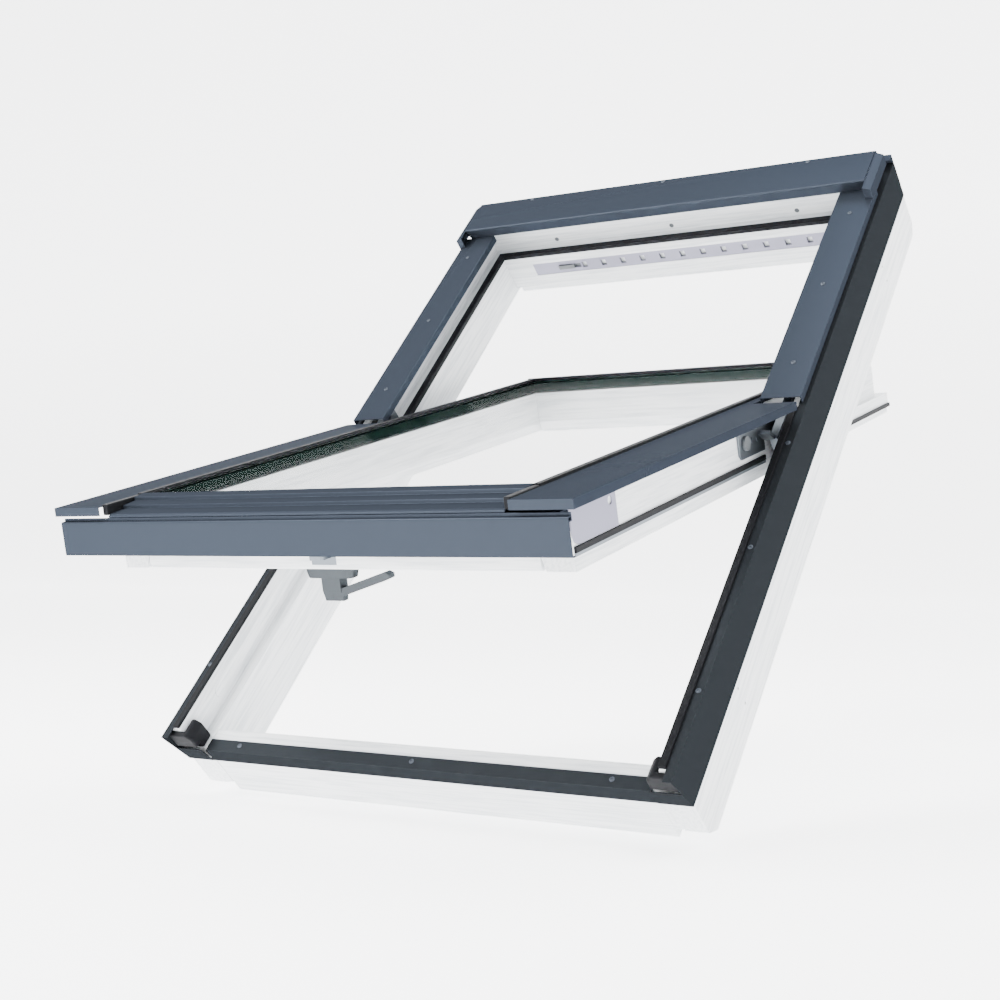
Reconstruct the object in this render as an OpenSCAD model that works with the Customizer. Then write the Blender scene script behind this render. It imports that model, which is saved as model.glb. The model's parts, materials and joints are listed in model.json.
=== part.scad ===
// Centre-pivot roof window with its frame, standing at the slope of its roof.
// Millimetres. Every piece is drawn in window axes, with the window shut: x runs across to the
// right, y up the slope from the middle of the frame, and z out of the roof from the plane of
// the upper cladding. place() then turns the whole window to the slope, and sash_pose() swings
// the sash open about its pivot line.

/* [Window] */
// Slope of the roof the window lies in, degrees
roof_pitch = 47; // [15:1:75]
// How far the sash stands open, degrees
sash_open = 33.4; // [0:0.1:80]
// Width over the timber frame
frame_w = 780; // [560:10:1120]
// Length of the timber frame, up the slope
frame_l = 1178; // [860:2:1460]
// Depth of the timber frame
frame_d = 136; // [116:1:170]

/* [Frame timber] */
// Thickness of each side below the step
jamb_t = 44; // [38:1:60]
// Thickness of the head below the step
head_t = 72; // [66:1:90]
// Thickness of the sill
sill_t = 34; // [28:1:34]
// Width of the step the sash shuts against
step_w = 18; // [16:1:20]
// Drop from the cladding plane to the step
step_drop = 58; // [57:1:60]
// Drop from the cladding plane to the top of the timber
timber_drop = 16.2; // [15:0.1:18]
// Lining groove along the room side, depth into the timber
lining_w = 12; // [6:1:16]
// Lining groove along the room side, height
lining_h = 18; // [10:1:22]
// Bevel on the back corners of the side timbers
bevel = 16; // [4:1:24]

/* [Pivot] */
// Pivot line above the middle of the frame
pivot_y = 14.5; // [0:0.5:30]
// Pivot line above the cladding plane
pivot_z = 23.5; // [18:0.5:26]
// Middle radius of the curved hinge track
track_r = 72; // [70:0.5:73]
// Width of the curved tongue that runs in the track
tongue_w = 6; // [4:0.5:7]
// Half the angle that the tongue covers
tongue_half = 38; // [20:1:40]

/* [Sash timber] */
// Gap from the sash to the frame at the sides
side_gap = 5; // [4:0.5:7]
// Gap from the sash to the head
head_gap = 5; // [4:0.5:8]
// Gap from the sash to the sill
sill_gap = 10; // [9:0.5:14]
// Width of each sash side, across the window
stile_w = 44; // [38:1:52]
// Width of the sash top rail, up the slope
top_rail_w = 54; // [50:1:64]
// Width of the sash bottom rail, up the slope
bottom_rail_w = 31; // [31:1:45]
// Drop from the cladding plane to the room face of the sash
sash_drop = 95; // [93:1:100]

/* [Glass] */
// Thickness of each pane
pane_t = 4; // [4:0.5:5]
// Gap between the panes
pane_gap = 14; // [12:0.5:14]
// How far the glass laps over the timber
glass_lap = 14; // [12:1:15]
// Drop from the cladding plane to the face of the glass
glass_drop = 1.4; // [1.4:0.1:2]

/* [Cladding] */
// Thickness of the aluminium sheet
sheet = 1.2; // [0.8:0.1:1.3]
// Width of each upper cover
cover_w = 60.5; // [56:0.5:62]
// Depth of the covers' edge folds
cover_fold = 11.5; // [8:0.5:12]
// Height of the hood above the covers
hood_h = 23; // [18:0.5:24]
// Length of the hood, up the slope
hood_l = 82; // [70:1:90]
// Height of the side flashings' outer legs
flashing_h = 65; // [40:1:80]
// Height of the sash front cover
front_h = 44; // [36:1:46]
// How far the sash front cover stands beyond the frame
front_out = 21.5; // [20:0.5:26]

/* [Handle] */
// Handle, from the middle of the window
handle_x = -8; // [-100:1:100]
// Reach of the lever from its axis
lever_reach = 88; // [60:1:110]
// Radius of the handle's spindle
spindle_r = 3.5; // [3:0.25:4]
// Throw of the locking bolt
bolt_throw = 12; // [10:0.5:12]

/* [Air inlet] */
// Air slots in the head grille
slot_count = 13; // [5:1:15]
// Spacing of the air slots
slot_pitch = 39; // [30:1:44]

/* [Fits] */
// Clearance between a turning or sliding piece and its guide
slide_clear = 0.3; // [0.3:0.05:0.5]
// Running clearance of the spindle, on the radius
running_clear = 0.05; // [0.02:0.01:0.1]

/* [Fixings] */
// Radius of the pilot holes for the mounting brackets
pilot_r = 2; // [1.5:0.25:3]
// Spacing of the two pilot holes of a bracket
pilot_pitch = 28; // [20:1:40]
// Depth of the pilot holes
pilot_depth = 30; // [15:1:35]
// Pilot holes, from the middle of the frame along the slope
bracket_y = 414; // [200:2:420]

/* [Hidden] */
$fn = 48;
eps = 0.01;
far = 3000;
right = 1;
left = -1;

// Frame, outline and step
frame_x = frame_w / 2;
frame_y = frame_l / 2;
wall_x = frame_x - jamb_t;
recess_x = wall_x + step_w;
head_y = frame_y - head_t;
head_recess_y = head_y + step_w;
sill_y = -frame_y + sill_t;
step_z = -step_drop;
timber_z = -timber_drop;
frame_z = timber_z - frame_d;
jamb_chamfer = 6;
jamb_chamfer_h = 13;
sill_mid_z = (step_z + frame_z) / 2;
pilot_z = (timber_z + frame_z) / 2 - 20;

// Sash, outline and sections
sash_x = wall_x - side_gap;
sash_in_x = sash_x - stile_w;
sash_top_y = head_y - head_gap;
sash_in_top_y = sash_top_y - top_rail_w;
sash_bottom_y = sill_y + sill_gap;
sash_in_bottom_y = sash_bottom_y + bottom_rail_w;
sash_z = -sash_drop;
glass_z = -glass_drop;
unit_t = 2 * pane_t + pane_gap;
rebate_z = glass_z - unit_t;
front_plate_z = rebate_z;
room_chamfer = 6;
room_chamfer_h = 19;
glass_clear = 3;
upstand_x = sash_in_x + glass_lap + glass_clear;
glass_x = sash_in_x + glass_lap;
glass_top_y = sash_in_top_y + glass_lap;
glass_bottom_y = sash_bottom_y + 4;
shoulder_w = 9;
shoulder_x = sash_x - shoulder_w;
top_upper_y = sash_top_y - 34;
notch_y = pivot_y - 4.5;

// Seals
seal_lap = 5;
seal_x = sash_x - seal_lap;
seal_top_y = sash_top_y - seal_lap;
seal_t = 3;
seal_drop = 4.5;
seal_foot = 13;
shoulder_z = step_z - seal_drop - 1;

// Cladding
cover_x = frame_x - 3.5;
cover_in_x = cover_x - cover_w;
cover_low_y = pivot_y + 1.5;
hood_front_y = frame_y - 16 - hood_l;
hood_lip = 8;
hood_x = cover_x - 11.5;
hood_end_x = frame_x - 2;
flashing_x = frame_x + sheet;
flashing_top_z = timber_z + sheet;
flashing_in_x = flashing_x - 12;
front_y = -frame_y - front_out;
flashing_low_y = front_y + 4.2;
front_top_z = -19;
sill_cover_z = step_z + sheet;
sill_flange_h = 23;
sill_cover_in_y = -frame_y + 16;
sill_cover_out_y = -frame_y - 3.5;
bead_w = 9;
bead_z = 3.4;
side_cover_in_x = sash_in_x + bead_w;
side_cover_top_y = cover_low_y - 3;
drain_front_y = front_y + 6.5;
front_half = flashing_in_x - 1.5;

// Hinge
groove_r_in = track_r - tongue_w / 2 - slide_clear;
groove_r_out = track_r + tongue_w / 2 + slide_clear;
track_top_z = timber_z - 1;
track_depth = 12;
groove_depth = 9;
arm_t = 3;
arm_r = track_r + tongue_w / 2;
arm_low_y = pivot_y - 110;

// Handle and lock
handle_y = sash_bottom_y + 14;
base_l = 74;
base_w = 22;
base_h = 12;
hub_l = 28;
hub_h = 29;
lever_w = 12;
bolt_w = 22;
bolt_t = 8;
bolt_z = sash_z + 19;
bolt_tip_y = sill_y - 6;
bolt_l = 26;
crank_r = bolt_throw / 2 / sin(45);
crank_pin_r = 2;
pin_slot = 2 * crank_pin_r + 4 * slide_clear;
case_w = bolt_w + 16;

// Air inlet
grille_z = sash_z + 10;
grille_h = 26;
grille_t = 3;
grille_recess = 1;
slot_w = 10;
slot_h = 12;
slot_0 = -slot_pitch * (slot_count - 1) / 2 + slot_pitch * 1.2;
knob_w = 32;
knob_x = slot_0 - slot_w / 2 - knob_w / 2 - 15;
vent_travel = 12;
slot_end = slot_0 + slot_pitch * (slot_count - 1) + slot_w / 2;
grille_x0 = knob_x - knob_w / 2 - 52;
grille_x1 = slot_end + vent_travel + 10;

// Colours
paint_white = "#F1F2F2";
cladding_grey = "#56626F";
cladding_dark = "#3A4650";
rubber_black = "#1E1E24";
steel_grey = "#A9AEB4";
plate_grey = "#CFCDD6";
handle_grey = "#85898D";
glass_tint = "#9FB4AE";

// ---------------------------------------------------------------- placing

// Turns window axes to the slope, with the middle of the sill's lower face at the origin
module place() {
    rotate([roof_pitch, 0, 0]) translate([0, frame_y, -sill_mid_z]) children();
}

// Swings a piece of the shut sash open about the pivot line
module sash_pose() {
    place() translate([0, pivot_y, pivot_z]) rotate([-sash_open, 0, 0])
        translate([0, -pivot_y, -pivot_z]) children();
}

// A box from its two opposite corners
module block(low, high) {
    translate(low) cube(high - low);
}

// Carries an outline drawn in (x, z) along the slope from y0 to y1
module along_y(y0, y1) {
    translate([0, y1, 0]) rotate([90, 0, 0]) linear_extrude(y1 - y0) children();
}

// Carries an outline drawn in (y, z) across the window from x0 to x1
module along_x(x0, x1) {
    translate([x0, 0, 0]) rotate([90, 0, 90]) linear_extrude(x1 - x0) children();
}

// Mirrors a piece drawn on the right when side is left
module on_side(side) {
    if (side == right) children();
    else mirror([1, 0, 0]) children();
}

// A round rod across the window on the line (y, z)
module rod_x(x0, x1, y, z, r) {
    translate([x0, y, z]) rotate([0, 90, 0]) cylinder(h = x1 - x0, r = r);
}

// ---------------------------------------------------------------- frame timber

module frame_jamb(side) {
    color(paint_white) place() on_side(side) difference() {
        along_y(-frame_y, frame_y) polygon([
            [frame_x, timber_z], [frame_x, frame_z], [wall_x + lining_w, frame_z],
            [wall_x + lining_w, frame_z + lining_h], [wall_x, frame_z + lining_h],
            [wall_x, step_z], [recess_x, step_z], [recess_x, timber_z - jamb_chamfer_h],
            [recess_x + jamb_chamfer, timber_z]]);
        for (end = [-1, 1])
            translate([0, end * frame_y, frame_z]) rotate([45, 0, 0])
                cube([far, bevel * sqrt(2), bevel * sqrt(2)], center = true);
        for (y = [-bracket_y, bracket_y], dz = [-pilot_pitch / 2, pilot_pitch / 2])
            rod_x(frame_x - pilot_depth, frame_x + 1, y, pilot_z + dz, pilot_r);
        rod_x(recess_x - 1, recess_x + plug_depth, plug_y, plug_z, plug_r);
    }
}

module frame_head() {
    color(paint_white) place() difference() {
        union() {
            along_x(-wall_x, wall_x) polygon([
                [head_y, step_z], [head_y, frame_z + lining_h],
                [head_y + lining_w, frame_z + lining_h], [head_y + lining_w, frame_z],
                [frame_y, frame_z], [frame_y, step_z]]);
            along_x(-recess_x, recess_x) polygon([
                [head_recess_y, step_z], [head_recess_y, timber_z],
                [frame_y, timber_z], [frame_y, step_z]]);
        }
        block([grille_x0, head_y - 1, grille_z - grille_h],
            [grille_x1, head_y + grille_pocket, grille_z]);
        for (x = head_plug_x)
            translate([x, head_recess_y - 1, head_plug_z]) rotate([-90, 0, 0])
                cylinder(h = plug_depth + 1, r = head_plug_r);
    }
}

module frame_sill() {
    color(paint_white) place() difference() {
        along_x(-wall_x, wall_x) polygon([
            [sill_y, step_z], [sill_y, frame_z + lining_h], [sill_y - lining_w, frame_z + lining_h],
            [sill_y - lining_w, frame_z], [-frame_y, frame_z], [-frame_y, step_z]]);
        block([handle_x - strike_w / 2, sill_y - strike_depth, bolt_z - strike_h / 2],
            [handle_x + strike_w / 2, sill_y + 1, bolt_z + strike_h / 2]);
    }
}

// Round plugs that hide the frame screws
plug_r = 9;
plug_depth = 8;
plug_y = -505;
plug_z = -38;
head_plug_r = 4;
head_plug_x = [-230, 0, 230];
head_plug_z = -48;
plug_proud = 0.8;

module jamb_plugs() {
    color(paint_white) place() for (side = [left, right]) on_side(side)
        rod_x(recess_x - plug_proud, recess_x + plug_depth, plug_y, plug_z, plug_r);
}

module head_plugs() {
    color(handle_grey) place() for (x = head_plug_x)
        translate([x, head_recess_y - plug_proud, head_plug_z]) rotate([-90, 0, 0])
            cylinder(h = plug_depth + plug_proud, r = head_plug_r);
}

// ---------------------------------------------------------------- frame seals

// The upper half's seal: a flat foot on the step and a lip down to the sash's shoulder
module frame_seal() {
    color(rubber_black) place() {
        seal_loop(seal_x + seal_foot, seal_top_y + seal_foot, step_z, step_z + seal_t);
        seal_loop(sash_x, sash_top_y, step_z - seal_drop, step_z);
    }
}

module seal_loop(outer_x, outer_y, z0, z1) {
    difference() {
        block([-outer_x, seal_low_y, z0], [outer_x, outer_y, z1]);
        block([-seal_x, seal_low_y - 1, z0 - 1], [seal_x, seal_top_y, z1 + 1]);
    }
}
seal_low_y = pivot_y + 5.5;

// Strips beside the flashings on the lower half
module flashing_seals() {
    color(rubber_black) place() for (side = [left, right]) on_side(side)
        block([flashing_in_x - 10, -frame_y, timber_z],
            [flashing_in_x, cover_low_y - 4, -cover_fold]);
}

// ---------------------------------------------------------------- frame cladding

module side_flashing(side) {
    low_z = flashing_top_z - flashing_h;
    // The lower end is cut at a slant, from the top fold back to the sill cover's flange
    slant = (sill_cover_out_y - flashing_low_y) / flashing_h;
    leaf_z = step_z + 10;
    leaf_y = flashing_low_y + slant * (flashing_top_z - leaf_z);
    color(cladding_dark) place() on_side(side) {
        difference() {
            along_y(flashing_low_y, frame_y) polygon([
                [flashing_in_x, flashing_top_z], [flashing_x, flashing_top_z],
                [flashing_x, low_z], [frame_x, low_z], [frame_x, timber_z],
                [flashing_in_x, timber_z]]);
            along_x(0, far) polygon([
                [flashing_low_y - 1, low_z - 1], [sill_cover_out_y, low_z - 1],
                [sill_cover_out_y, low_z], [flashing_low_y, timber_z],
                [flashing_low_y - 1, timber_z]]);
        }
        // A leaf turned in across the corner, level with the sill cover's flange
        along_x(wall_x, flashing_x) polygon([
            [sill_cover_out_y, low_z], [leaf_y, leaf_z], [leaf_y + sheet, leaf_z],
            [sill_cover_out_y + sheet, low_z]]);
    }
}

module head_flashing() {
    hood_back_y = hood_front_y + hood_l;
    color(cladding_grey) place() along_x(-flashing_x, flashing_x) polygon([
        [hood_back_y, 0.4], [frame_y + sheet, 0.4], [frame_y + sheet, -60], [frame_y, -60],
        [frame_y, 0.4 - sheet], [hood_back_y, 0.4 - sheet]]);
}

module sill_cover() {
    color(cladding_grey) place() along_x(-wall_x, wall_x) polygon([
        [sill_cover_in_y, step_z], [sill_cover_in_y, sill_cover_z],
        [sill_cover_out_y, sill_cover_z], [sill_cover_out_y, sill_cover_z - sill_flange_h],
        [sill_cover_out_y + sheet, sill_cover_z - sill_flange_h],
        [sill_cover_out_y + sheet, step_z]]);
}

// Moulded blocks that close the corners between the sill cover and the flashings
cap_in_x = wall_x + 4;
cap_l = 22;
cap_top_z = timber_z - 5;

module corner_cap(side) {
    color(rubber_black) place() on_side(side) {
        along_y(-frame_y, -frame_y + cap_l) polygon([
            [cap_in_x, sill_cover_z], [cap_in_x, cap_top_z - 8], [cap_in_x + 8, cap_top_z],
            [recess_x, cap_top_z], [recess_x, sill_cover_z]]);
        along_y(-frame_y - 8.5, -frame_y) polygon([
            [cap_in_x, step_z + 11], [cap_in_x, cap_top_z - 8], [cap_in_x + 8, cap_top_z],
            [frame_x - 1, cap_top_z], [frame_x - 1, step_z + 11]]);
    }
}

module upper_cover(side) {
    color(cladding_grey) place() on_side(side) along_y(cover_low_y, hood_front_y + hood_lip)
        polygon([
            [cover_in_x, -cover_fold], [cover_in_x, 0], [cover_x, 0], [cover_x, -cover_fold],
            [cover_x - sheet, -cover_fold], [cover_x - sheet, -sheet],
            [cover_in_x + sheet, -sheet], [cover_in_x + sheet, -cover_fold]]);
}

// Spacers that carry the upper covers, on the side timbers
clip_y = [89, 265, 440];
clip_l = 34;
clip_in_x = recess_x - 14;

module cover_clips() {
    color(rubber_black) place() for (side = [left, right], y = clip_y) on_side(side)
        block([clip_in_x, y - clip_l / 2, timber_z],
            [flashing_in_x - 1, y + clip_l / 2, -sheet]);
}

module hood() {
    back_y = hood_front_y + hood_l;
    inner = hood_h - sheet;
    color(cladding_grey) place() along_x(-hood_x, hood_x) polygon([
        [hood_front_y + hood_lip, 0], [hood_front_y, hood_h], [back_y, hood_h], [back_y, 0.4],
        [back_y - sheet, 0.4], [back_y - sheet, inner], [hood_front_y + sheet, inner],
        [hood_front_y + hood_lip + sheet, 0]]);
}

// End pieces of the hood: a cheek across its end, and a flange with a bevelled outer corner
module hood_end(side) {
    back_y = hood_front_y + hood_l;
    color(cladding_dark) place() on_side(side) {
        along_y(hood_front_y - 20, back_y - 6) polygon([
            [hood_x, hood_h - 1], [hood_x + 3, hood_h - 1], [hood_end_x, hood_h - 6],
            [hood_end_x, -2], [hood_end_x - sheet, -2], [hood_end_x - sheet, hood_h - 7],
            [hood_x + 2, hood_h - 1 - sheet], [hood_x, hood_h - 1 - sheet]]);
        along_y(hood_front_y - 20, hood_front_y - 20 + sheet) polygon([
            [hood_x, 0.4], [hood_x, hood_h - 1], [hood_x + 3, hood_h - 1],
            [hood_end_x, hood_h - 6], [hood_end_x, 0.4]]);
        along_x(hood_x, hood_x + sheet) polygon([
            [hood_front_y + hood_lip, 0.4], [hood_front_y + 0.4, hood_h - 1],
            [back_y, hood_h - 1], [back_y, 0.4]]);
    }
}

bracket_x = [-263, 0, 263];
module hood_brackets() {
    color(rubber_black) place() for (x = bracket_x)
        block([x - 15, head_recess_y + 3, timber_z],
            [x + 15, hood_front_y + hood_l - 2 * sheet, hood_h - sheet]);
}

// The round head of a screw, standing on the sheet it holds
module screw_head() {
    cylinder(h = 1.6, r = 3.6);
}

flashing_screw_y = [-478, -250, -60];
sill_screw_x = [-290, 0, 290];

module cladding_screws() {
    color(steel_grey) place() {
        for (side = [left, right]) on_side(side) {
            for (y = clip_y) translate([clip_in_x + 7, y, 0]) screw_head();
            for (y = flashing_screw_y) translate([flashing_in_x + 5, y, flashing_top_z])
                screw_head();
        }
        for (x = bracket_x) translate([x, hood_front_y + hood_l - 7, hood_h]) screw_head();
        for (x = sill_screw_x) translate([x, -frame_y + 8, sill_cover_z]) screw_head();
    }
}

// ---------------------------------------------------------------- hinge, frame half

module track_plate(side) {
    color(steel_grey) place() on_side(side) difference() {
        block([recess_x - track_depth, pivot_y - 62, step_z],
            [recess_x, pivot_y + 62, track_top_z]);
        difference() {
            rod_x(recess_x - track_depth - 1, recess_x - track_depth + groove_depth,
                pivot_y, pivot_z, groove_r_out);
            rod_x(recess_x - track_depth - 2, recess_x, pivot_y, pivot_z, groove_r_in);
        }
    }
}

// ---------------------------------------------------------------- lock, frame half

strike_w = 44;
strike_h = 22;
strike_depth = 14;
strike_t = 2;

module strike_plate() {
    color(steel_grey) place() difference() {
        block([handle_x - strike_w / 2, sill_y - strike_t, bolt_z - strike_h / 2],
            [handle_x + strike_w / 2, sill_y, bolt_z + strike_h / 2]);
        block([handle_x - bolt_w / 2 - 4, sill_y - strike_depth, bolt_z - bolt_t / 2 - 3],
            [handle_x + bolt_w / 2 + 4, sill_y + 1, bolt_z + bolt_t / 2 + 3]);
    }
}

// ---------------------------------------------------------------- air inlet

grille_pocket = grille_recess + grille_t + 3;
slider_t = 1.6;
slider_z = grille_z - grille_h / 2;
grille_y = head_y + grille_recess;

module slot_holes(y0, y1) {
    for (i = [0 : slot_count - 1])
        block([slot_0 + i * slot_pitch - slot_w / 2, y0, slider_z - slot_h / 2],
            [slot_0 + i * slot_pitch + slot_w / 2, y1, slider_z + slot_h / 2]);
}

module vent_grille() {
    color(plate_grey) place() difference() {
        block([grille_x0, grille_y, grille_z - grille_h],
            [grille_x1, grille_y + grille_t, grille_z]);
        slot_holes(grille_y - 1, grille_y + grille_t + 1);
        // The knob's slot
        block([knob_x - knob_w / 2 - slide_clear, grille_y - 1, slider_z - 4 - slide_clear],
            [knob_x + knob_w / 2 + vent_travel + slide_clear, grille_y + grille_t + 1,
                slider_z + 4 + slide_clear]);
    }
}

module vent_slider() {
    color(paint_white) place() {
        difference() {
            block([knob_x - knob_w / 2 - 8, grille_y + grille_t + slide_clear, slider_z - 10],
                [slot_end + 2,
                    grille_y + grille_t + slide_clear + slider_t, slider_z + 10]);
            slot_holes(grille_y, grille_y + grille_pocket);
        }
        block([knob_x - knob_w / 2, grille_y - 3, slider_z - 4],
            [knob_x + knob_w / 2, grille_y + grille_t + slide_clear + eps, slider_z + 4]);
    }
}

// ---------------------------------------------------------------- sash timber

module sash_stile(side) {
    glass_stop_y = glass_top_y + glass_clear;
    trim_x = cover_in_x - 3;
    color(paint_white) sash_pose() on_side(side) {
        // Lower half: full width, carrying the side cover
        along_y(sash_bottom_y, notch_y) polygon([
            [sash_in_x, sash_z + room_chamfer_h], [sash_in_x, rebate_z], [upstand_x, rebate_z],
            [upstand_x, -sheet], [sash_x, -sheet], [sash_x, sash_z],
            [sash_in_x + room_chamfer, sash_z]]);
        // Upper half: cut back under the upper cover, above a shoulder that meets the seal
        along_y(notch_y - 20, top_upper_y) polygon([
            [sash_in_x, sash_z + room_chamfer_h], [sash_in_x, rebate_z], [upstand_x, rebate_z],
            [upstand_x, -4], [trim_x, -4], [trim_x, -cover_fold - 2.5],
            [shoulder_x, -cover_fold - 2.5], [shoulder_x, shoulder_z], [sash_x, shoulder_z],
            [sash_x, sash_z], [sash_in_x + room_chamfer, sash_z]]);
        block([sash_in_x, glass_stop_y, sash_z + room_chamfer_h],
            [trim_x, top_upper_y, -4]);
        block([sash_in_x, top_upper_y - 40, shoulder_z - 17], [sash_x, sash_top_y, shoulder_z]);
        along_y(top_upper_y - 40, sash_top_y - 9) polygon([
            [sash_in_x, sash_z + room_chamfer_h], [sash_x, sash_z + room_chamfer_h],
            [sash_x, sash_z], [sash_in_x + room_chamfer, sash_z]]);
    }
}

module sash_top_rail() {
    glass_stop_y = glass_top_y + glass_clear;
    color(paint_white) sash_pose() along_x(-sash_in_x, sash_in_x) polygon([
        [sash_in_top_y, sash_z + room_chamfer_h], [sash_in_top_y, rebate_z],
        [glass_stop_y + 2, rebate_z], [glass_stop_y + 2, -4], [top_upper_y, -4],
        [top_upper_y, shoulder_z], [sash_top_y, shoulder_z], [sash_top_y, shoulder_z - 17],
        [sash_top_y - 9, shoulder_z - 17], [sash_top_y - 9, sash_z],
        [sash_in_top_y + room_chamfer, sash_z]]);
}

module sash_bottom_rail() {
    color(paint_white) sash_pose() difference() {
        along_x(-sash_in_x, sash_in_x) polygon([
            [sash_bottom_y, sash_z + 6], [sash_bottom_y, rebate_z],
            [sash_in_bottom_y, rebate_z], [sash_in_bottom_y, sash_z + 12],
            [sash_in_bottom_y - 4, sash_z], [sash_bottom_y + 3, sash_z]]);
        lock_case_body();
        translate([handle_x, handle_y, sash_z - 1]) cylinder(h = 20, r = spindle_r + 1);
    }
}

// ---------------------------------------------------------------- glass

module pane(top_z) {
    block([-glass_x, glass_bottom_y, top_z - pane_t], [glass_x, glass_top_y, top_z]);
}

module outer_pane() {
    color(glass_tint) sash_pose() pane(glass_z);
}

module inner_pane() {
    color(glass_tint) sash_pose() pane(rebate_z + pane_t);
}

module spacer_bar() {
    inset = 2;
    wide = 10;
    z0 = rebate_z + pane_t;
    z1 = glass_z - pane_t;
    color(steel_grey) sash_pose() difference() {
        block([inset - glass_x, glass_bottom_y + inset, z0],
            [glass_x - inset, glass_top_y - inset, z1]);
        block([inset + wide - glass_x, glass_bottom_y + inset + wide, z0 - 1],
            [glass_x - inset - wide, glass_top_y - inset - wide, z1 + 1]);
    }
}

module setting_blocks() {
    color(rubber_black) sash_pose() for (x = [-glass_x * 0.7, glass_x * 0.7])
        block([x - 25, glass_bottom_y - 9, rebate_z], [x + 25, glass_bottom_y, glass_z]);
}

// Bead on the glass, down both sides and across the top
module glazing_gasket() {
    color(rubber_black) sash_pose() difference() {
        block([-sash_in_x - bead_w, glass_bottom_y, glass_z],
            [sash_in_x + bead_w, sash_in_top_y + bead_w, bead_z]);
        block([-sash_in_x, glass_bottom_y - 1, glass_z - 1],
            [sash_in_x, sash_in_top_y, bead_z + 1]);
    }
}

// ---------------------------------------------------------------- sash cladding

module sash_top_cover() {
    trim_x = cover_in_x - 3;
    color(cladding_grey) sash_pose() along_x(-trim_x, trim_x) polygon([
        [sash_in_top_y + bead_w, -sheet], [sash_in_top_y + bead_w, 0], [top_upper_y, 0],
        [top_upper_y, -4], [top_upper_y - sheet, -4], [top_upper_y - sheet, -sheet]]);
}

module upper_trim(side) {
    trim_x = cover_in_x - 3;
    color(cladding_grey) sash_pose() on_side(side)
        along_y(side_cover_top_y, sash_in_top_y + bead_w) polygon([
            [side_cover_in_x, -sheet], [side_cover_in_x, 0], [trim_x, 0], [trim_x, -4],
            [trim_x - sheet, -4], [trim_x - sheet, -sheet]]);
}

module sash_top_gasket() {
    trim_x = cover_in_x - 3;
    color(rubber_black) sash_pose() block([-trim_x, top_upper_y, -15], [trim_x, top_upper_y + 5, 2]);
}

// The stepped strip below the glass: a lip on the glass and three falls to the front
module drain_profile() {
    y0 = glass_bottom_y;
    y1 = drain_front_y;
    color(cladding_grey) sash_pose() along_x(-sash_in_x, sash_in_x) polygon([
        [y0 + 4.5, glass_z], [y0 + 4.5, 2.2], [y0 + 2, 3.4], [y0 - 15, 1.6], [y0 - 16, -3],
        [y0 - 36, -4.6], [y0 - 37, -9], [y1 + 3, -10.6], [y1, -13], [y1, -15],
        [y1 + 3.2, -12.2], [y0 - 35.6, -10.5], [y0 - 34.6, -6.1], [y0 - 14.6, -4.6],
        [y0 - 13.6, 0.1], [y0 - 11, 0.4], [y0 - 11, front_plate_z], [y0 - 9.4, front_plate_z],
        [y0 - 9.4, 0.6], [y0 + 1, 1.7], [y0 + 2.9, 1], [y0 + 2.9, glass_z]]);
}

module drain_end_blocks() {
    color(rubber_black) sash_pose() for (side = [left, right]) on_side(side)
        block([sash_in_x, drain_front_y, -12], [side_cover_in_x, glass_bottom_y, 2]);
}

// The strip behind the front cover: a plate to the bottom rail and an upstand below the drain
module front_carrier() {
    t = 1.6;
    low_z = front_plate_z - t;
    color(cladding_dark) sash_pose() {
        along_x(-sash_x, sash_x) polygon([
            [front_y + sheet, front_plate_z], [sash_bottom_y, front_plate_z],
            [sash_bottom_y, front_plate_z - 26], [sash_bottom_y - t, front_plate_z - 26],
            [sash_bottom_y - t, low_z], [front_y + sheet, low_z]]);
        along_x(-front_half, front_half) polygon([
            [front_y + sheet, low_z], [front_y + sheet, front_plate_z],
            [drain_front_y, front_plate_z], [drain_front_y, -15.5],
            [drain_front_y + t, -15.5], [drain_front_y + t, low_z]]);
    }
}

module sash_front_cover() {
    z1 = front_top_z;
    z0 = front_top_z - front_h;
    fold = 6.5;
    color(cladding_grey) sash_pose() along_x(-front_half, front_half) polygon([
        [front_y, z0], [front_y, z1 - 2.5], [front_y + 2.5, z1], [front_y + fold, z1],
        [front_y + fold, z1 - sheet], [front_y + 2.8, z1 - sheet], [front_y + sheet, z1 - 2.8],
        [front_y + sheet, z0 + sheet], [front_y + fold, z0 + sheet], [front_y + fold, z0]]);
}

module sash_side_cover(side) {
    color(cladding_grey) sash_pose() on_side(side) {
        along_y(front_y, side_cover_top_y) polygon([
            [side_cover_in_x, -sheet], [side_cover_in_x, 0], [cover_x, 0],
            [cover_x, -cover_fold], [cover_x - sheet, -cover_fold], [cover_x - sheet, -sheet]]);
        block([side_cover_in_x, front_y, -cover_fold], [cover_x, front_y + sheet, -sheet / 2]);
    }
}

plate_t = 2;

module side_plate(side) {
    round_r = 16;
    y0 = sash_bottom_y - 3;
    y1 = sash_bottom_y + 103;
    color(plate_grey) sash_pose() on_side(side) difference() {
        along_x(sash_x, sash_x + plate_t) union() {
            polygon([[y0 + round_r, -66], [y1, -66], [y1, -3], [y0, -3], [y0, -66 + round_r]]);
            translate([y0 + round_r, -66 + round_r]) circle(r = round_r);
        }
        rod_x(sash_x - 1, sash_x + plate_t + 1, y1 - 14, -34, 5);
    }
}

// Lip seals on the sash sides: below the pivot over the side plates' lower edge, above it on
// the shoulder
module sash_side_seals() {
    seal_t = 3;
    color(rubber_black) sash_pose() for (side = [left, right]) on_side(side) {
        block([sash_x, sash_bottom_y, -74], [sash_x + seal_t, pivot_y - 26, -67]);
        block([sash_x, pivot_y + 8, -86], [sash_x + seal_t, sash_top_y, -80]);
    }
}

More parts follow.
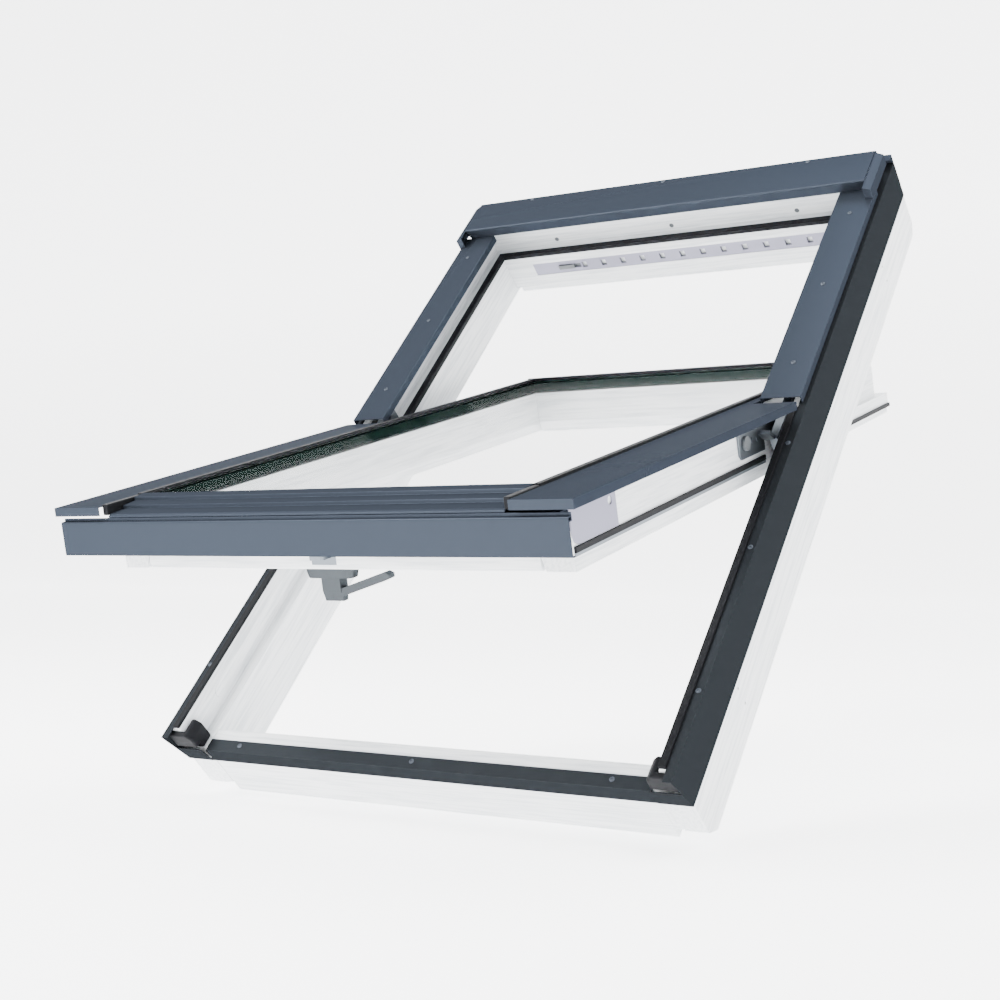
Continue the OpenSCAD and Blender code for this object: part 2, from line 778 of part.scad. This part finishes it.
// Bright strips that carry the side seals
module seal_lips() {
    color(steel_grey) sash_pose() for (side = [left, right]) on_side(side)
        block([sash_x, sash_bottom_y, -78], [sash_x + plate_t, pivot_y - 26, -74]);
}

// ---------------------------------------------------------------- hinge, sash half

// A flat arm on the sash side, with the curved tongue that runs in the frame's track
module hinge_arm(side) {
    top_z = -22;
    color(steel_grey) sash_pose() on_side(side) {
        along_x(sash_x, sash_x + arm_t) {
            polygon([[arm_low_y + 6, -60], [pivot_y - 26, -60], [pivot_y - 26, top_z],
                [arm_low_y, top_z], [arm_low_y, -54]]);
            intersection() {
                translate([pivot_y, pivot_z]) circle(r = arm_r - 1.5);
                polygon([[pivot_y - 50, -60], [pivot_y + 48, -60], [pivot_y + 48, top_z],
                    [pivot_y - 50, top_z]]);
            }
        }
        along_x(sash_x + arm_t / 2, recess_x - track_depth + groove_depth - 0.5)
            translate([pivot_y, pivot_z]) difference() {
                circle(r = arm_r);
                circle(r = arm_r - tongue_w);
                // What is left is the arc below the pivot
                polygon([[0, 0], [-2 * arm_r * sin(tongue_half), -2 * arm_r * cos(tongue_half)],
                    [-2 * arm_r, 2 * arm_r], [2 * arm_r, 2 * arm_r],
                    [2 * arm_r * sin(tongue_half), -2 * arm_r * cos(tongue_half)]]);
            }
    }
}

disc_y = pivot_y - 90;
disc_z = -40;

module friction_discs() {
    color(handle_grey) sash_pose() for (side = [left, right]) on_side(side)
        rod_x(sash_x + arm_t, sash_x + arm_t + 4, disc_y, disc_z, 10);
}

module sash_screws() {
    color(steel_grey) sash_pose() for (side = [left, right]) on_side(side) {
        for (y = [pivot_y - 66, pivot_y - 50])
            rod_x(sash_x + arm_t, sash_x + arm_t + 1, y, disc_z, 4);
        for (y = [sash_bottom_y + 20, sash_bottom_y + 60])
            rod_x(sash_x + plate_t, sash_x + plate_t + 1, y, -20, 3.5);
    }
}

// ---------------------------------------------------------------- handle and lock

case_wall = 1.5;
case_z0 = bolt_z - bolt_t / 2 - 9;
case_z1 = bolt_z + bolt_t / 2 + 2 * case_wall;
case_l = 28;
disc_t = 2.4;
crank_z = bolt_z - bolt_t / 2 - 1.5;
bolt_tail = 15;

module lock_case_body() {
    block([handle_x - case_w / 2, sash_bottom_y, case_z0],
        [handle_x + case_w / 2, sash_bottom_y + case_l, case_z1]);
}

module lock_case() {
    inner = case_w / 2 - case_wall;
    color(steel_grey) sash_pose() difference() {
        lock_case_body();
        block([handle_x - inner, sash_bottom_y + case_wall, case_z0 + case_wall],
            [handle_x + inner, sash_bottom_y + case_l - case_wall, case_z1 - case_wall]);
        block([handle_x - bolt_w / 2 - slide_clear, sash_bottom_y - 1,
                bolt_z - bolt_t / 2 - slide_clear],
            [handle_x + bolt_w / 2 + slide_clear, sash_bottom_y + 2 * case_wall,
                bolt_z + bolt_t / 2 + slide_clear]);
        translate([handle_x, handle_y, case_z0 - 1])
            cylinder(h = 2 * case_wall + 1, r = spindle_r + running_clear);
    }
}

module handle_base() {
    color(handle_grey) sash_pose() difference() {
        hull() {
            for (x = [-1, 1]) {
                translate([handle_x + x * (base_l - base_w) / 2, handle_y, sash_z - 4])
                    cylinder(h = 4, r = base_w / 2);
                translate([handle_x + x * (base_l - base_w) / 2, handle_y, sash_z - base_h])
                    cylinder(h = 4, r = base_w / 2 - 2);
            }
        }
        translate([handle_x, handle_y, sash_z - base_h - 1])
            cylinder(h = base_h + 2, r = spindle_r + running_clear);
    }
}

// Tapered hub and slanting lever, shown turned to the locked side
module handle_lever() {
    z0 = sash_z - base_h - slide_clear;
    half = hub_l / 2;
    color(handle_grey) sash_pose() translate([handle_x, handle_y, z0]) difference() {
        union() {
            along_x(-half, half) polygon([[-7, 0], [-7, -16], [-3, -hub_h], [5, -hub_h],
                [8, -16], [8, 0]]);
            along_y(-lever_w / 2, lever_w / 2) polygon([[0, -17], [lever_reach - 6, 8],
                [lever_reach, 5], [lever_reach, 0], [lever_reach - 8, -3], [0, -hub_h + 2]]);
        }
        translate([0, 0, -14]) cylinder(h = 15, r = spindle_r + running_clear);
    }
}

// Square-drive spindle with the crank that moves the bolt
module handle_spindle() {
    low_z = sash_z - base_h - slide_clear - 14;
    color(steel_grey) sash_pose() translate([handle_x, handle_y, 0]) {
        translate([0, 0, low_z]) cylinder(h = crank_z - low_z - 1, r = spindle_r);
        translate([0, 0, crank_z - disc_t]) cylinder(h = disc_t, r = crank_r + crank_pin_r + 0.5);
        rotate([0, 0, -45]) translate([crank_r, 0, crank_z - 1])
            cylinder(h = bolt_t + 1.5, r = crank_pin_r);
    }
}

module latch_bolt() {
    slot_y = handle_y - bolt_throw / 2;
    color(steel_grey) sash_pose() translate([handle_x, 0, bolt_z - bolt_t / 2])
        linear_extrude(bolt_t) difference() {
            polygon([
                [-bolt_w / 2, bolt_tip_y + 3], [3 - bolt_w / 2, bolt_tip_y],
                [bolt_w / 2 - 3, bolt_tip_y], [bolt_w / 2, bolt_tip_y + 3],
                [bolt_w / 2, slot_y - pin_slot / 2 - 3.2], [bolt_tail, slot_y - pin_slot / 2 - 3.2],
                [bolt_tail, slot_y + pin_slot / 2 + 3], [-bolt_w / 2, slot_y + pin_slot / 2 + 3]]);
            translate([crank_r / 2 - 2, slot_y - pin_slot / 2]) square([crank_r + 2, pin_slot]);
        }
}

// ---------------------------------------------------------------- all the pieces

frame_head();
frame_sill();
frame_jamb(left);  // frame_jamb_left
frame_jamb(right);  // frame_jamb_right
frame_seal();
flashing_seals();
side_flashing(left);  // side_flashing_left
side_flashing(right);  // side_flashing_right
head_flashing();
sill_cover();
corner_cap(left);  // corner_cap_left
corner_cap(right);  // corner_cap_right
upper_cover(left);  // upper_cover_left
upper_cover(right);  // upper_cover_right
cover_clips();
hood();
hood_end(left);  // hood_end_left
hood_end(right);  // hood_end_right
hood_brackets();
cladding_screws();
jamb_plugs();
head_plugs();
track_plate(left);  // track_plate_left
track_plate(right);  // track_plate_right
strike_plate();
vent_grille();
vent_slider();
sash_stile(left);  // sash_stile_left
sash_stile(right);  // sash_stile_right
sash_top_rail();
sash_bottom_rail();
outer_pane();
inner_pane();
spacer_bar();
setting_blocks();
glazing_gasket();
sash_top_cover();
upper_trim(left);  // upper_trim_left
upper_trim(right);  // upper_trim_right
sash_top_gasket();
drain_profile();
drain_end_blocks();
front_carrier();
sash_front_cover();
sash_side_cover(left);  // sash_side_cover_left
sash_side_cover(right);  // sash_side_cover_right
side_plate(left);  // side_plate_left
side_plate(right);  // side_plate_right
sash_side_seals();
seal_lips();
hinge_arm(left);  // hinge_arm_left
hinge_arm(right);  // hinge_arm_right
friction_discs();
sash_screws();
lock_case();
handle_base();
handle_lever();
handle_spindle();
latch_bolt();
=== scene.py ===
import json
import math

import bmesh
import bpy
import numpy as np
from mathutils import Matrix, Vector


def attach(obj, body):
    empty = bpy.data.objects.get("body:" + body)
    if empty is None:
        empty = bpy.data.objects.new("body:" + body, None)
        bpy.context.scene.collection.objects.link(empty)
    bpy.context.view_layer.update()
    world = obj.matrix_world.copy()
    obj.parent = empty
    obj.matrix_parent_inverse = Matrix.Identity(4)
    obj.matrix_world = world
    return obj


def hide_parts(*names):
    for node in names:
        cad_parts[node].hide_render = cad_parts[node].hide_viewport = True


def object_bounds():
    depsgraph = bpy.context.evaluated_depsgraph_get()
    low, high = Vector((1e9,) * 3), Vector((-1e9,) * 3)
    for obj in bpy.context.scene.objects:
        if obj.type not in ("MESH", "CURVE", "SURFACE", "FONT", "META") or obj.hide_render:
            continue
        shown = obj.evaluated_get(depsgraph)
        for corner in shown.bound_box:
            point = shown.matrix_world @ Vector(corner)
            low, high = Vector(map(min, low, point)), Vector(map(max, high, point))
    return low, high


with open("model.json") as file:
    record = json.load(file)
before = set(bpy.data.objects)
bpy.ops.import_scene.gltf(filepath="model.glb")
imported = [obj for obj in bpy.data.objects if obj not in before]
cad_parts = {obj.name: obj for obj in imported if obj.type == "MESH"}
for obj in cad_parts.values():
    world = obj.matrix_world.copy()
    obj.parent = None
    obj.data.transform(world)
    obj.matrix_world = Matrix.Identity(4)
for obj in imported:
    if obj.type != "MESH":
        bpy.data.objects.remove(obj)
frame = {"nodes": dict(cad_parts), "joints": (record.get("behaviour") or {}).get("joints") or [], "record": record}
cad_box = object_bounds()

# ------------------------------------------------------------------ the room it is shown in
# A plain white floor that turns up behind into a plain wall, lit from behind as a light table
# is, under large soft lamps. The window stands on the lower corner of its frame, at roof slope.


def colour(code):
    """An sRGB hex code as linear red, green, blue and alpha."""
    srgb = np.array([int(code[i : i + 2], 16) for i in (1, 3, 5)]) / 255
    linear = np.where(srgb <= 0.04045, srgb / 12.92, ((srgb + 0.055) / 1.055) ** 2.4)
    return (*linear.tolist(), 1.0)


def add(tree, kind, links=(), **settings):
    """A new node with its properties and inputs set, and its inputs linked to other sockets."""
    node = tree.nodes.new(kind)
    for key, value in settings.items():
        if hasattr(node, key):
            setattr(node, key, value)
        else:
            node.inputs[key.replace("_", " ")].default_value = value
    for key, socket in dict(links).items():
        tree.links.new(socket, node.inputs[key])
    return node


def finish(name, base, roughness, **settings):
    """A material with a plain Principled surface. Returns the material, its tree and surface."""
    made = bpy.data.materials.new(name)
    made.use_nodes = True
    tree = made.node_tree
    tree.nodes.clear()
    surface = add(tree, "ShaderNodeBsdfPrincipled", Base_Color=colour(base), Roughness=roughness)
    for key, value in settings.items():
        surface.inputs[key.replace("_", " ")].default_value = value
    add(tree, "ShaderNodeOutputMaterial", {"Surface": surface.outputs["BSDF"]})
    return made, tree, surface


def mesh_piece(name, points, faces, material, smooth_angle=35):
    """A shown object made of points in metres and faces, smooth but for edges over an angle."""
    mesh = bpy.data.meshes.new(name)
    mesh.from_pydata(np.asarray(points).tolist(), [], [list(map(int, f)) for f in faces])
    work = bmesh.new()
    work.from_mesh(mesh)
    bmesh.ops.remove_doubles(work, verts=work.verts, dist=1e-6)
    bmesh.ops.recalc_face_normals(work, faces=work.faces)
    work.to_mesh(mesh)
    work.free()
    mesh.shade_smooth()
    mesh.set_sharp_from_angle(angle=math.radians(smooth_angle))
    mesh.materials.append(material)
    piece = bpy.data.objects.new(name, mesh)
    bpy.context.scene.collection.objects.link(piece)
    return piece


low, high = (np.array(corner) for corner in cad_box)
floor_half = 40.0
sweep_r = 3.0
floor_front_y = -12.0
floor_y = 8.0
wall_top = 20.0
floor_gap = 0.002
turn = np.linspace(0, math.pi / 2, 25)
across = np.array([-floor_half, floor_half])
run_y = np.concatenate([[floor_front_y], floor_y + sweep_r * np.sin(turn), [floor_y + sweep_r]])
run_z = np.concatenate([[0], sweep_r * (1 - np.cos(turn)), [wall_top]]) + low[2] - floor_gap
grid = np.stack([np.tile(across, len(run_y)), np.repeat(run_y, 2), np.repeat(run_z, 2)], axis=1)
row = np.arange(len(run_y) - 1) * 2
backdrop, _, _ = finish("lit_seamless_paper", "#FBFBFC", 0.9, Emission_Color=colour("#FFFFFF"),
    Emission_Strength=2.6)
floor = mesh_piece("floor", grid, np.stack([row, row + 1, row + 3, row + 2], axis=1), backdrop)

world = bpy.data.worlds.new("studio")
bpy.context.scene.world = world
world.use_nodes = True
sky = world.node_tree
sky.nodes["Background"].inputs["Strength"].default_value = 1.9
# The room is bright on the left and overhead, and dimmer on the right
aim = add(sky, "ShaderNodeTexCoord")
place = add(sky, "ShaderNodeSeparateXYZ", {"Vector": aim.outputs["Generated"]})
sideways = add(sky, "ShaderNodeMapRange", {"Value": place.outputs["X"]}, From_Min=-0.6,
    From_Max=0.9)
shade = add(sky, "ShaderNodeValToRGB", {"Fac": sideways.outputs["Result"]})
shade.color_ramp.elements[0].color = colour("#FFFFFF")
shade.color_ramp.elements[1].color = colour("#A3A8AE")
sky.links.new(shade.outputs["Color"], sky.nodes["Background"].inputs["Color"])


def soft_lamp(name, place, aim, width, power):
    """A square lamp of that width, in metres, at a place and turned to an aim point."""
    lamp = bpy.data.lights.new(name, "AREA")
    lamp.size = width
    lamp.energy = power
    stand = bpy.data.objects.new(name, lamp)
    stand.location = place
    stand.rotation_euler = (Vector(aim) - Vector(place)).to_track_quat("-Z", "Y").to_euler()
    bpy.context.scene.collection.objects.link(stand)


middle = (low + high) / 2
soft_lamp("key_lamp", (-2.2, -2.6, 3.2), middle, 2.2, 420)
soft_lamp("top_lamp", (0.6, 0.6, 3.6), middle, 2.6, 150)

# The camera stands low, to the right of the window and nearly level
camera = bpy.data.objects.new("camera", bpy.data.cameras.new("camera"))
bpy.context.scene.collection.objects.link(camera)
bpy.context.scene.camera = camera
view_dir = Vector((-0.5355, 0.8372, 0.1113))
camera.location = (1.2091, -1.7012, 0.3111)
camera.rotation_euler = view_dir.to_track_quat("-Z", "Y").to_euler()
camera.data.sensor_width = 36
camera.data.lens = 57.11
camera.data.shift_x = -0.0044
camera.data.shift_y = -0.1319

# ------------------------------------------------------------------ frame timber
# Four lengths of finger-jointed pine, planed and moulded, screwed at the corners and sprayed
# with white lacquer. The grain just shows through it, and every edge is eased.

PITCH = math.asin(-frame["record"]["mounts"][0]["axis"][2])
OPEN = math.radians(-frame["joints"][0]["range_deg"][0])
FRAME_HALF_LENGTH = 589
SILL_MIDDLE_DROP = 105.1
PIVOT = np.array([0, 14.5, 23.5])
MM = 0.001


def turned(points, angle):
    """Points turned about X by an angle in radians."""
    c, s = math.cos(angle), math.sin(angle)
    return np.asarray(points, float) @ np.array([[1, 0, 0], [0, c, s], [0, -s, c]])


def on_frame(points):
    """Window axes in mm to metres: x across, y up the slope, z out of the roof."""
    lifted = np.asarray(points, float) + [0, FRAME_HALF_LENGTH, SILL_MIDDLE_DROP]
    return turned(lifted, PITCH) * MM


def on_sash(points):
    """The same axes, drawn on the shut sash and swung open about its pivot line."""
    return on_frame(turned(np.asarray(points, float) - PIVOT, -OPEN) + PIVOT)


def grained(name, base, streak, slope, along_x):
    """Lacquer over pine: faint streaks and a shallow bump, long in the timber's direction."""
    made, tree, surface = finish(name, base, 0.34, IOR=1.48)
    place = add(tree, "ShaderNodeTexCoord")
    grain_wide = 220
    grain_long = 9
    scale = (grain_wide, grain_long, grain_wide)
    if along_x:
        scale = (grain_long, grain_wide, grain_wide)
    level = add(tree, "ShaderNodeMapping", {"Vector": place.outputs["Object"]},
        Rotation=(-slope, 0, 0))
    stretched = add(tree, "ShaderNodeMapping", {"Vector": level.outputs["Vector"]}, Scale=scale)
    grain = add(tree, "ShaderNodeTexNoise", {"Vector": stretched.outputs["Vector"]},
        Scale=1.0, Detail=4.0, Roughness=0.6)
    ramp = add(tree, "ShaderNodeValToRGB", {"Fac": grain.outputs["Fac"]})
    ramp.color_ramp.elements[0].position = 0.36
    ramp.color_ramp.elements[0].color = colour(streak)
    ramp.color_ramp.elements[1].position = 0.56
    ramp.color_ramp.elements[1].color = colour(base)
    bump = add(tree, "ShaderNodeBump", {"Height": grain.outputs["Fac"]}, Strength=0.12,
        Distance=0.0006)
    tree.links.new(ramp.outputs["Color"], surface.inputs["Base Color"])
    tree.links.new(bump.outputs["Normal"], surface.inputs["Normal"])
    return made


def dressed(node, material, edge, body="frame", segments=2):
    """A CAD node's shape, merged, with its edges rounded by a radius in mm. It stands for the
    node and rides on its body."""
    mesh = frame["nodes"][node].data.copy()
    mesh.name = node + "_finished"
    work = bmesh.new()
    work.from_mesh(mesh)
    bmesh.ops.remove_doubles(work, verts=work.verts, dist=1e-5)
    bmesh.ops.dissolve_limit(work, angle_limit=math.radians(1), verts=work.verts,
        edges=work.edges)
    work.to_mesh(mesh)
    work.free()
    mesh.materials.clear()
    mesh.materials.append(material)
    mesh.shade_smooth()
    mesh.set_sharp_from_angle(angle=math.radians(28))
    piece = bpy.data.objects.new(mesh.name, mesh)
    bpy.context.scene.collection.objects.link(piece)
    ease = piece.modifiers.new("eased edges", "BEVEL")
    ease.width = edge * MM
    ease.segments = segments
    ease.limit_method = "ANGLE"
    ease.angle_limit = math.radians(28)
    ease.harden_normals = True
    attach(piece, body)
    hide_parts(node)
    return piece


lacquer_white = "#E4E6E7"
lacquer_streak = "#CBCFD2"
TIMBER_EDGE = 1.6
frame_side_lacquer = grained("white_lacquer_on_pine_sides", lacquer_white, lacquer_streak,
    PITCH, False)
across_lacquer = grained("white_lacquer_on_pine_rails", lacquer_white, lacquer_streak,
    PITCH, True)
for side in ("left", "right"):
    dressed(f"frame_jamb_{side}", frame_side_lacquer, TIMBER_EDGE)
for rail in ("frame_head", "frame_sill"):
    dressed(rail, across_lacquer, TIMBER_EDGE)
dressed("jamb_plugs", frame_side_lacquer, 0.4)

# ------------------------------------------------------------------ seals and moulded corners
# Extruded rubber strips pushed into grooves, and corner blocks injected in black plastic. Both
# are matt, with soft edges that only catch a dull light.

rubber, rubber_tree, rubber_surface = finish("epdm_rubber", "#111215", 0.6,
    Specular_IOR_Level=0.1)
pores = add(rubber_tree, "ShaderNodeTexNoise",
    {"Vector": add(rubber_tree, "ShaderNodeTexCoord").outputs["Object"]}, Scale=900.0)
rubber_tree.links.new(
    add(rubber_tree, "ShaderNodeBump", {"Height": pores.outputs["Fac"]}, Strength=0.1,
        Distance=0.0003).outputs["Normal"],
    rubber_surface.inputs["Normal"])
for strip in ("frame_seal", "flashing_seals"):
    dressed(strip, rubber, 0.8)
for block in ("corner_cap_left", "corner_cap_right"):
    dressed(block, rubber, 3.0, segments=3)
for block in ("cover_clips", "hood_brackets"):
    dressed(block, rubber, 0.8)

# ------------------------------------------------------------------ frame cladding
# Aluminium sheet, coil-coated in grey and folded on a press brake, so every bend is a small
# round that catches the light. The flashings' outer legs lie on the timber.

SHEET = 1.2
BEND = 2.0


def fold(path, bend=BEND, thick=SHEET):
    """The section of a folded sheet: its outer face is the path with each inner corner turned
    into an arc, and its inner face is that moved sideways by the sheet's thickness."""
    path = np.asarray(path, float)
    outer = [path[:1]]
    for before, corner, after in zip(path[:-2], path[1:-1], path[2:]):
        a = (before - corner) / np.linalg.norm(before - corner)
        b = (after - corner) / np.linalg.norm(after - corner)
        half = math.acos(np.clip(a @ b, -1, 1)) / 2
        back = min(bend / math.tan(half), 0.45 * min(np.linalg.norm(before - corner),
            np.linalg.norm(after - corner)))
        t = np.linspace(0, 1, 7)[:, None]
        start, stop = corner + a * back, corner + b * back
        outer.append((1 - t) ** 2 * start + 2 * t * (1 - t) * corner + t**2 * stop)
    outer.append(path[-1:])
    outer = np.concatenate(outer)
    step = np.gradient(outer, axis=0)
    side = np.stack([-step[:, 1], step[:, 0]], axis=1)
    side /= np.linalg.norm(side, axis=1)[:, None]
    return outer, outer - side * thick


def sheet_piece(name, section, start, stop, place, material, across=True, mirror=False):
    """A folded section carried from start to stop: across the window, or along its slope."""
    outer, inner = section
    ring = np.concatenate([outer, inner[::-1]])
    n = len(ring)
    ends = np.repeat([start, stop], n)
    u, z = np.tile(ring[:, 0], 2), np.tile(ring[:, 1], 2)
    points = np.stack([ends, u, z] if across else [u, ends, z], axis=1)
    if mirror:
        points[:, 0] *= -1
    i = np.arange(n)
    walls = np.stack([i, (i + 1) % n, (i + 1) % n + n, i + n], axis=1)
    j = np.arange(len(outer) - 1)
    cap = np.stack([j, j + 1, n - 2 - j, n - 1 - j], axis=1)
    faces = np.concatenate([walls, cap, cap + n])
    return mesh_piece(name, place(points), faces, material)


def coated(name, base, roughness):
    """Coil coating on aluminium: a satin, slightly metallic paint with a very fine orange-peel
    skin. The dark specular tint keeps it from mirroring the room at a glancing view."""
    made, tree, surface = finish(name, base, roughness, Specular_IOR_Level=0.0, Metallic=0.4,
        Specular_Tint=colour("#3A3F46"))
    skin = add(tree, "ShaderNodeTexNoise",
        {"Vector": add(tree, "ShaderNodeTexCoord").outputs["Object"]}, Scale=350.0, Detail=2.0)
    bump = add(tree, "ShaderNodeBump", {"Height": skin.outputs["Fac"]}, Strength=0.05,
        Distance=0.0004)
    tree.links.new(bump.outputs["Normal"], surface.inputs["Normal"])
    return made


cladding = coated("coil_coated_aluminium", "#31363E", 0.36)
# The side flashings and the sill cover get the cladding's coating in a darker grey, and this darker grey is
# painted shade.
flashing_coat_painted_shade = coated("coil_coated_aluminium_darker_painted_shade", "#292C2F", 0.32)
FRAME_X = 390
COVER_X = 386.5
COVER_IN_X = 326
TIMBER_TOP = -16.2
COVER_FOLD = 11.5
COVER_LOW_Y = 16
COVER_TOP_Y = 499
HOOD_X = 375
HOOD_TOP_Y = 573
HOOD_Z = 23
upper_cover = fold([(COVER_IN_X, -COVER_FOLD), (COVER_IN_X, 0), (COVER_X, 0),
    (COVER_X, -COVER_FOLD)])
for side, mirror in (("left", True), ("right", False)):
    piece = sheet_piece(f"upper_cover_{side}_sheet", upper_cover, COVER_LOW_Y, COVER_TOP_Y,
        on_frame, cladding, across=False, mirror=mirror)
    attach(piece, "frame")
    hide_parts(f"upper_cover_{side}")
    # The side flashings take the darker coating that stands for painted shade.
    dressed(f"side_flashing_{side}", flashing_coat_painted_shade, 0.55, segments=3)
    dressed(f"hood_end_{side}", cladding, 0.5)
hood_fold = fold([(COVER_TOP_Y, 0), (COVER_TOP_Y - 8, HOOD_Z), (HOOD_TOP_Y, HOOD_Z),
    (HOOD_TOP_Y, 0.4)], bend=3)
hood = sheet_piece("hood_sheet", hood_fold, -HOOD_X, HOOD_X, on_frame, cladding)
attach(hood, "frame")
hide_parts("hood")
dressed("head_flashing", cladding, 0.5)
# The sill cover takes the darker coating that stands for painted shade.
dressed("sill_cover", flashing_coat_painted_shade, 0.5)

# ------------------------------------------------------------------ screws and plugs
# Pan-head screws with a cross recess, their heads coated dark grey, and plugs pushed over the frame screws.

zinc, _, _ = finish("zinc_plated_steel", "#6A7076", 0.38, Metallic=1.0)
coated_screw = coated("coated_screw_steel", "#4A4F56", 0.4)
HEAD_R = 3.6
HEAD_H = 1.6


def screw_heads(name, centres, out, place, body, node):
    """Domed heads, z = height x (1 - r^4), less a cross cut where |x| or |y| is small near the
    middle, at centres in window axes and standing along the axis 'out'."""
    r = np.array([0, 0.18, 0.34, 0.36, 0.5, 0.7, 0.88, 0.97, 1, 1])
    a = np.linspace(0, 2 * math.pi, 33)[:-1]
    rr, aa = np.meshgrid(r, a, indexing="ij")
    x, y = rr * np.cos(aa), rr * np.sin(aa)
    cross = (np.minimum(abs(x), abs(y)) < 0.12) & (rr < 0.5)
    z = HEAD_H * (1 - rr**4 * 0.55) - cross * 0.8
    z[-1] = 0
    points = np.stack([x * HEAD_R, y * HEAD_R, z], axis=-1).reshape(-1, 3)
    n = len(a)
    i, j = np.meshgrid(np.arange(len(r) - 1), np.arange(n), indexing="ij")
    faces = np.stack([i * n + j, (i + 1) * n + j, (i + 1) * n + (j + 1) % n, i * n + (j + 1) % n],
        axis=-1).reshape(-1, 4)
    basis = np.array(Vector((0, 0, 1)).rotation_difference(Vector(out)).to_matrix())
    every = [place(points @ basis.T + centre) for centre in centres]
    all_faces = [faces + k * len(points) for k in range(len(centres))]
    piece = mesh_piece(name, np.concatenate(every), np.concatenate(all_faces), coated_screw, 50)
    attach(piece, body)
    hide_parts(node)
    return piece


screw_places = [(s * 357, y, 0) for s in (-1, 1) for y in (89, 265, 440)]
screw_places += [(s * 384.2, y, TIMBER_TOP + SHEET) for s in (-1, 1) for y in (-478, -250, -60)]
screw_places += [(x, 566, 23) for x in (-263, 0, 263)]
screw_places += [(x, -581, -56.8) for x in (-290, 0, 290)]
screw_heads("cladding_screw_heads", np.array(screw_places), (0, 0, 1), on_frame, "frame",
    "cladding_screws")
grey_plastic, _, _ = finish("grey_moulded_polyamide", "#54585B", 0.42)
dressed("head_plugs", grey_plastic, 0.3)

# ------------------------------------------------------------------ hinge tracks and strike
# Pressed and milled steel, zinc plated. The tongue of each hinge runs in the curved groove.

for node in ("track_plate_left", "track_plate_right", "strike_plate"):
    dressed(node, zinc, 0.3)

# ------------------------------------------------------------------ air inlet
# A pale coated aluminium strip with punched slots, let into the head, and a plastic slide
# behind it that closes the slots.

pale_coat = coated("pale_coated_aluminium", "#8E8D9C", 0.4)
dressed("vent_grille", pale_coat, 0.2)
dressed("vent_slider", grey_plastic, 0.2, body="vent")

# ------------------------------------------------------------------ sash timber
# The same lacquered pine as the frame, in four rails round the glass.

sash_side_lacquer = grained("white_lacquer_on_pine_stiles", lacquer_white, lacquer_streak,
    PITCH - OPEN, False)
for side in ("left", "right"):
    dressed(f"sash_stile_{side}", sash_side_lacquer, TIMBER_EDGE, "sash")
for rail in ("sash_top_rail", "sash_bottom_rail"):
    dressed(rail, across_lacquer, TIMBER_EDGE, "sash")

# ------------------------------------------------------------------ glass unit
# Two panes of float glass with ground edges, held apart by a dark spacer bar. Float glass is
# clear through its face and deep green through its edge. A face is drawn as a film that is
# nearly all see-through, so it mirrors far less of the room than real glass would.

clear_glass, _, _ = finish("clear_float_glass", "#1E2B27", 0.05, IOR=1.05, Alpha=0.04)
glass_edge, _, _ = finish("green_glass_edge", "#1B3A33", 0.2, IOR=1.52)
for pane in ("outer_pane", "inner_pane"):
    piece = dressed(pane, clear_glass, 0.4, "sash")
    piece.data.materials.append(glass_edge)
    face_out = turned([[0, 0, 1]], PITCH - OPEN)[0]
    for face in piece.data.polygons:
        face.material_index = int(abs(np.dot(face.normal, face_out)) < 0.5)
spacer_coat = coated("dark_green_coated_spacer", "#0E1B18", 0.45)
dressed("spacer_bar", spacer_coat, 0.3, "sash")
dressed("setting_blocks", rubber, 0.4, "sash")
dressed("glazing_gasket", rubber, 0.8, "sash")

# ------------------------------------------------------------------ sash cladding
# Folded covers of the same coated sheet down both sides, over the front and across the top,
# and an extruded strip with three falls that carries water off the glass.

FRONT_Y = -610.5
FRONT_TOP = -19
FRONT_LOW = -63
FRONT_LIP = 6.5
FRONT_HALF = 377.7
for side, mirror in (("left", True), ("right", False)):
    dressed(f"sash_side_cover_{side}", cladding, 0.55, "sash", 3)
    dressed(f"upper_trim_{side}", cladding, 0.4, "sash")
dressed("sash_top_cover", cladding, 0.4, "sash")
dressed("sash_top_gasket", rubber, 0.8, "sash")
front = fold([(FRONT_Y + FRONT_LIP, FRONT_LOW), (FRONT_Y, FRONT_LOW), (FRONT_Y, FRONT_TOP),
    (FRONT_Y + FRONT_LIP, FRONT_TOP)], bend=4)
piece = sheet_piece("front_cover_sheet", front, -FRONT_HALF, FRONT_HALF, on_sash, cladding)
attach(piece, "sash")
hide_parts("sash_front_cover")
dressed("drain_profile", cladding, 0.5, "sash", 2)
dressed("drain_end_blocks", rubber, 1.5, "sash", 3)
dressed("front_carrier", cladding, 0.4, "sash")

# ------------------------------------------------------------------ sash sides
# Pale cover plates with a rounded corner, rubber lip seals below them, and the bright strips
# that hold the seals.

for side in ("left", "right"):
    dressed(f"side_plate_{side}", pale_coat, 0.5, "sash")
dressed("sash_side_seals", rubber, 0.6, "sash")
dressed("seal_lips", zinc, 0.4, "sash")

# ------------------------------------------------------------------ hinges, sash half
# A flat plated arm screwed to each side, with the curved tongue and a plastic brake disc.

for side in ("left", "right"):
    dressed(f"hinge_arm_{side}", zinc, 0.3, "sash")
dressed("friction_discs", grey_plastic, 0.6, "sash")
dressed("sash_screws", zinc, 0.2, "sash")

# ------------------------------------------------------------------ handle and lock
# A grey painted handle cast in zinc: a base plate, a hub and a bent lever. Its spindle turns a
# crank in the lock case, and the crank slides the bolt.

handle_paint = coated("grey_painted_zinc", "#44484B", 0.35)
dressed("handle_base", handle_paint, 0.5, "sash")
dressed("handle_lever", handle_paint, 2.0, "handle", 3)
dressed("handle_spindle", zinc, 0.2, "handle")
dressed("lock_case", zinc, 0.3, "sash")
dressed("latch_bolt", zinc, 0.4, "latch")
